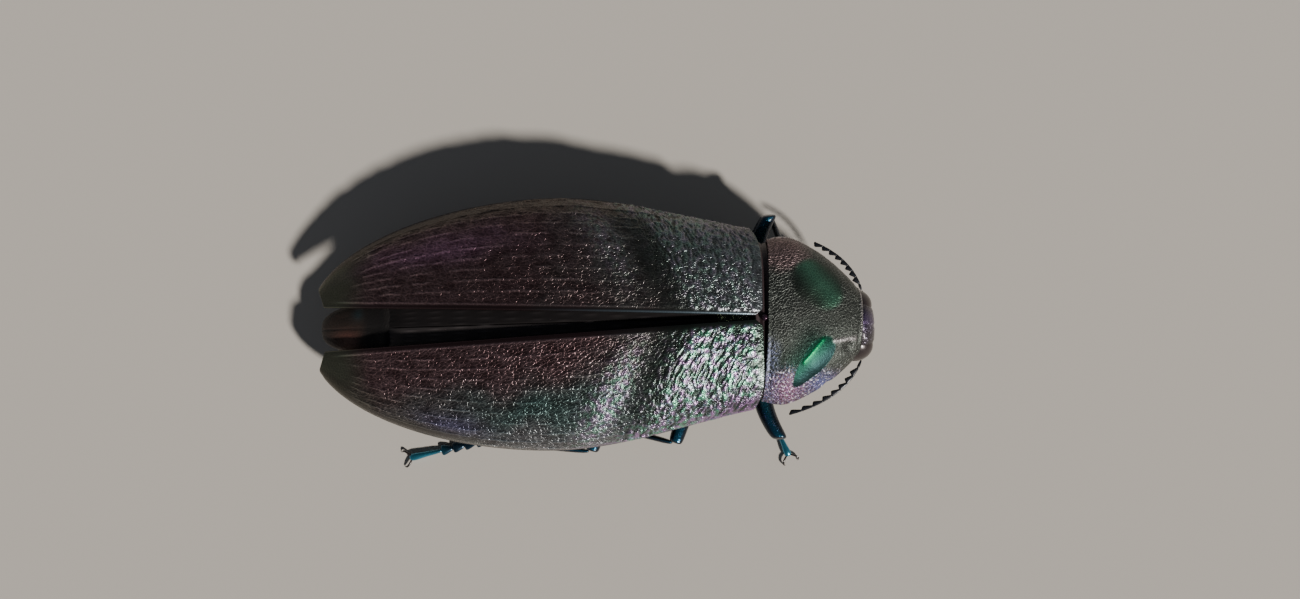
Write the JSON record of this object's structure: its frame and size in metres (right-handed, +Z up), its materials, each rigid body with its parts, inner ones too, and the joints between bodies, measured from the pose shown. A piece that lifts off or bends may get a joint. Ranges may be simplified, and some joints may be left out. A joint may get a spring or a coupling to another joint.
{
  "type": "giant metallic jewel beetle, a life-size still model",
  "caption": "Long oval jewel beetle standing on its six feet with its ribbed metallic wing cases slightly parted.",
  "frame": {"origin": "centre of the bounding box in plan, on the floor the feet stand on", "axes": "+X along the body from tail to head, +Y to the beetle's left, +Z up"},
  "size_m": [0.06, 0.0302, 0.0145],
  "materials": {
    "wing_case": "glossy metallic shell, maroon to violet and green, ribbed and wrinkled",
    "pronotum_shell": "satin grey-green shell with two smooth emerald ovals",
    "head_shell": "satin dark violet-brown shell",
    "eye": "smooth glossy dark brown",
    "jaw": "glossy dark brown",
    "feeler": "satin blue-black",
    "scutellum_shell": "glossy reddish violet",
    "underside_shell": "glossy bronze and green, finely pitted",
    "abdomen_back": "satin dark red-brown",
    "folded_wing": "smooth smoky black",
    "leg_shell": "glossy metallic dark blue",
    "foot_shell": "glossy metallic blue to cyan"
  },
  "bodies": {
    "root": {"elytron_left": "wing_case", "elytron_right": "wing_case", "pronotum": "pronotum_shell", "head": "head_shell", "eye_left": "eye", "eye_right": "eye", "mandible_left": "jaw", "mandible_right": "jaw", "antenna_left": "feeler", "antenna_right": "feeler", "scutellum": "scutellum_shell", "prosternum": "underside_shell", "pterothorax": "underside_shell", "ventrite_1": "underside_shell", "ventrite_2": "underside_shell", "ventrite_3": "underside_shell", "ventrite_4": "underside_shell", "ventrite_5": "underside_shell", "abdomen_dorsum": "abdomen_back", "tail_plate": "abdomen_back", "hind_wing_left": "folded_wing", "hind_wing_right": "folded_wing", "front_left_coxa": "leg_shell", "front_left_femur": "leg_shell", "front_left_tibia": "leg_shell", "front_right_coxa": "leg_shell", "front_right_femur": "leg_shell", "front_right_tibia": "leg_shell", "middle_left_coxa": "leg_shell", "middle_left_femur": "leg_shell", "middle_left_tibia": "leg_shell", "middle_right_coxa": "leg_shell", "middle_right_femur": "leg_shell", "middle_right_tibia": "leg_shell", "hind_left_coxa": "leg_shell", "hind_left_femur": "leg_shell", "hind_left_tibia": "leg_shell", "hind_right_coxa": "leg_shell", "hind_right_femur": "leg_shell", "hind_right_tibia": "leg_shell", "front_left_tarsus": "foot_shell", "front_right_tarsus": "foot_shell", "middle_left_tarsus": "foot_shell", "middle_right_tarsus": "foot_shell", "hind_left_tarsus": "foot_shell", "hind_right_tarsus": "foot_shell"}
  },
  "joints": []
}
